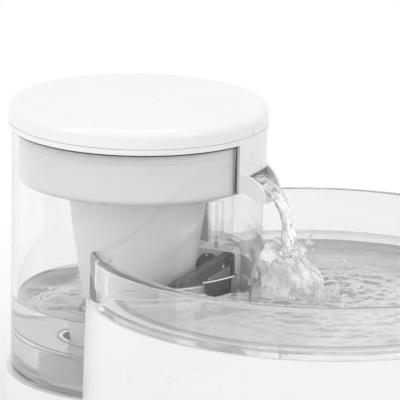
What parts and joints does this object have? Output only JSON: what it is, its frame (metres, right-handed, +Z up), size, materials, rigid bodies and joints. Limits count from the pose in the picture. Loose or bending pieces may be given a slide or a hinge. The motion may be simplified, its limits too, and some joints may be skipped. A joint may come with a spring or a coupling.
{
  "type": "pet water fountain",
  "caption": "Pet water fountain with a clear lidded tank, spout, splash ramp and a round clear drinking bowl on one white base.",
  "frame": {"origin": "middle of the base's box, on the floor that the feet stand on", "axes": "+Z up; +Y from the bowl towards the tank; the bowl is the front, at -Y"},
  "size_m": [0.26, 0.3136, 0.1848],
  "materials": {
    "white_shell": "smooth satin-gloss white moulding",
    "white_inner": "satin white moulding",
    "base_plate": "fine matt texture",
    "foot_rubber": "matt rubber",
    "screw_steel": "plain steel",
    "turret_grey": "satin grey moulding",
    "can_steel": "plain steel",
    "winding_copper": "enamelled copper wire",
    "bearing_brass": "sintered bronze",
    "board_green": "solder resist",
    "inlet_black": "moulded black",
    "magnet_grey": "dark sintered magnet",
    "clear_tank": "clear polished plastic",
    "clear_bowl": "clear polished plastic, faint violet edges",
    "seal_dark": "soft dark seal",
    "seal_pale": "soft milky seal",
    "foam_black": "open-cell foam",
    "cartridge_dark": "satin blue-grey moulding",
    "carbon_grey": "grey non-woven over carbon"
  },
  "bodies": {
    "base": {"base_skirt": "white_shell", "base_top": "white_shell", "bowl_well": "white_shell", "base_plate": "base_plate", "base_feet": "foot_rubber", "base_screws": "screw_steel", "tank_turret": "turret_grey", "motor_can": "can_steel", "motor_windings": "winding_copper", "shaft_bearings": "bearing_brass", "control_board": "board_green", "power_inlet": "inlet_black"},
    "drive_rotor": {"drive_shaft": "can_steel", "drive_disc": "can_steel", "drive_magnets": "magnet_grey"},
    "tank": {"tank_shell": "clear_tank", "tank_gasket": "seal_dark", "return_seals": "seal_pale", "impeller_pin": "can_steel", "pin_cap": "seal_dark"},
    "impeller": {"impeller": "white_inner", "impeller_magnet": "magnet_grey"},
    "collar": {"collar": "white_shell", "riser_cone": "white_inner", "riser_seal": "seal_dark", "flow_guide": "white_inner", "lid_seal": "seal_pale"},
    "lid": {"lid_cap": "white_shell"},
    "bowl": {"bowl": "clear_bowl", "splash_ramp": "clear_bowl"},
    "filter_tray": {"filter_tray": "white_inner", "filter_foam": "foam_black"},
    "cartridge": {"cartridge_frame": "cartridge_dark", "carbon_pad": "carbon_grey"}
  },
  "joints": [
    {"name": "drive_spin", "type": "hinge", "parent": "base", "child": "drive_rotor", "pos_m": [0, 0.0832, 0.02], "axis": [0, 0, 1], "continuous": true},
    {"name": "tank_lift", "type": "slide", "parent": "base", "child": "tank", "axis": [0, 0, 1], "range_m": [0, 0.1]},
    {"name": "impeller_spin", "type": "hinge", "parent": "tank", "child": "impeller", "pos_m": [0, 0.0832, 0.045], "axis": [0, 0, 1], "continuous": true},
    {"name": "collar_lift", "type": "slide", "parent": "tank", "child": "collar", "axis": [0, 0, 1], "range_m": [0, 0.14]},
    {"name": "lid_twist", "type": "hinge", "parent": "collar", "child": "lid", "pos_m": [0, 0.0832, 0.18], "axis": [0, 0, 1], "range_deg": [0, 25]},
    {"name": "bowl_lift", "type": "slide", "parent": "base", "child": "bowl", "axis": [0, 0, 1], "range_m": [0, 0.018]},
    {"name": "filter_lift", "type": "slide", "parent": "tank", "child": "filter_tray", "axis": [0, 0, 1], "range_m": [0, 0.02]},
    {"name": "cartridge_lift", "type": "slide", "parent": "filter_tray", "child": "cartridge", "axis": [0, 0, 1], "range_m": [0, 0.02]}
  ],
  "couplings": [
    {"joint": "impeller_spin", "follows": "drive_spin", "ratio": 1}
  ]
}
